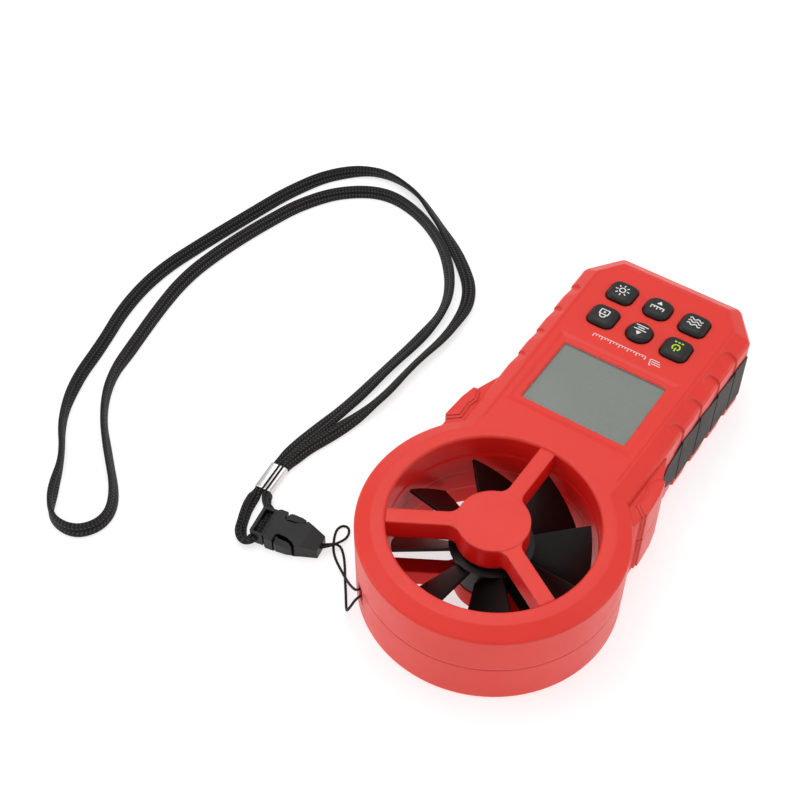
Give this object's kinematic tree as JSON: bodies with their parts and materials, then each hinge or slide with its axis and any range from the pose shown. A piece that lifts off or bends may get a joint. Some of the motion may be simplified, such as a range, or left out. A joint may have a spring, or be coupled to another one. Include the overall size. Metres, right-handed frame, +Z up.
{
  "type": "vane anemometer",
  "caption": "Hand-held vane anemometer: fan ring with finger guards and free-spinning vane rotor, display, rubber keys, side grips, sliding battery cover and a quick-release wrist strap.",
  "frame": {"origin": "under the middle of the instrument body (without the strap), on the surface its back lies on", "axes": "+Z up out of the display face, +Y along the body toward the fan ring, +X to the right seen from above with the ring at the top; the rotor spins about +Z"},
  "size_m": [0.2142, 0.2009, 0.0344],
  "materials": {
    "case_red": "semi-gloss moulded ABS",
    "grip_rubber": "matt soft-touch",
    "rotor_black": "satin",
    "steel": "machined",
    "screen_glass": "clear, glossy",
    "lcd_grey": "grey-green display",
    "white_plastic": "diffuse",
    "board_green": "solder mask",
    "component_black": "moulded",
    "key_rubber": "matt silicone",
    "battery_wrap": "printed jacket without text",
    "magnet_grey": "sintered",
    "strap_black": "braided cord",
    "buckle_black": "moulded acetal",
    "ferrule_silver": "crimped and plated"
  },
  "bodies": {
    "case": {"front_shell": "case_red", "rear_shell": "case_red", "front_guard": "case_red", "rear_guard": "case_red", "grip_left": "grip_rubber", "grip_right": "grip_rubber", "front_bearing": "steel", "rear_bearing": "steel", "rotor_sensor": "component_black", "screen_window": "screen_glass", "lcd_panel": "lcd_grey", "lcd_frame": "white_plastic", "lcd_backlight": "white_plastic", "contact_strips": "key_rubber", "main_board": "board_green", "board_chips": "component_black", "board_screws": "steel", "key_switches": "component_black", "case_screws": "steel", "battery": "battery_wrap", "battery_snap": "component_black", "battery_cradle": "case_red", "eye_bar": "case_red", "eye_cord": "strap_black", "buckle_socket": "buckle_black"},
    "rotor": {"impeller": "rotor_black", "axle": "steel", "rotor_magnet": "magnet_grey"},
    "key_front_left": {"key_front_left": "key_rubber"},
    "key_front_middle": {"key_front_middle": "key_rubber"},
    "key_front_right": {"key_front_right": "key_rubber"},
    "key_tail_left": {"key_tail_left": "key_rubber"},
    "key_tail_middle": {"key_tail_middle": "key_rubber"},
    "key_tail_right": {"key_tail_right": "key_rubber"},
    "cover": {"battery_cover": "case_red"},
    "strap": {"buckle_plug": "buckle_black", "buckle_arm_a": "buckle_black", "buckle_arm_b": "buckle_black", "strap_ferrule": "ferrule_silver", "strap_tail_outer": "strap_black", "strap_tail_inner": "strap_black", "strap_loop": "strap_black"}
  },
  "joints": [
    {"name": "rotor_spin", "type": "hinge", "parent": "case", "child": "rotor", "pos_m": [0, 0.0409, 0.018], "axis": [0, 0, 1], "continuous": true},
    {"name": "key_front_left_press", "type": "slide", "parent": "case", "child": "key_front_left", "axis": [0, 0, -1], "range_m": [0, 0.0008], "stiffness_N_per_m": 700, "springref_m": -0.0004},
    {"name": "key_front_middle_press", "type": "slide", "parent": "case", "child": "key_front_middle", "axis": [0, 0, -1], "range_m": [0, 0.0008], "stiffness_N_per_m": 700, "springref_m": -0.0004},
    {"name": "key_front_right_press", "type": "slide", "parent": "case", "child": "key_front_right", "axis": [0, 0, -1], "range_m": [0, 0.0008], "stiffness_N_per_m": 700, "springref_m": -0.0004},
    {"name": "key_tail_left_press", "type": "slide", "parent": "case", "child": "key_tail_left", "axis": [0, 0, -1], "range_m": [0, 0.0008], "stiffness_N_per_m": 700, "springref_m": -0.0004},
    {"name": "key_tail_middle_press", "type": "slide", "parent": "case", "child": "key_tail_middle", "axis": [0, 0, -1], "range_m": [0, 0.0008], "stiffness_N_per_m": 700, "springref_m": -0.0004},
    {"name": "key_tail_right_press", "type": "slide", "parent": "case", "child": "key_tail_right", "axis": [0, 0, -1], "range_m": [0, 0.0008], "stiffness_N_per_m": 700, "springref_m": -0.0004},
    {"name": "battery_cover_slide", "type": "slide", "parent": "case", "child": "cover", "axis": [0, -1, 0], "range_m": [0, 0.058]},
    {"name": "buckle_release", "type": "slide", "parent": "case", "child": "strap", "axis": [0.9848, 0.174, 0], "range_m": [0, 0.014], "deforming": ["buckle_arm_a", "buckle_arm_b"]}
  ]
}
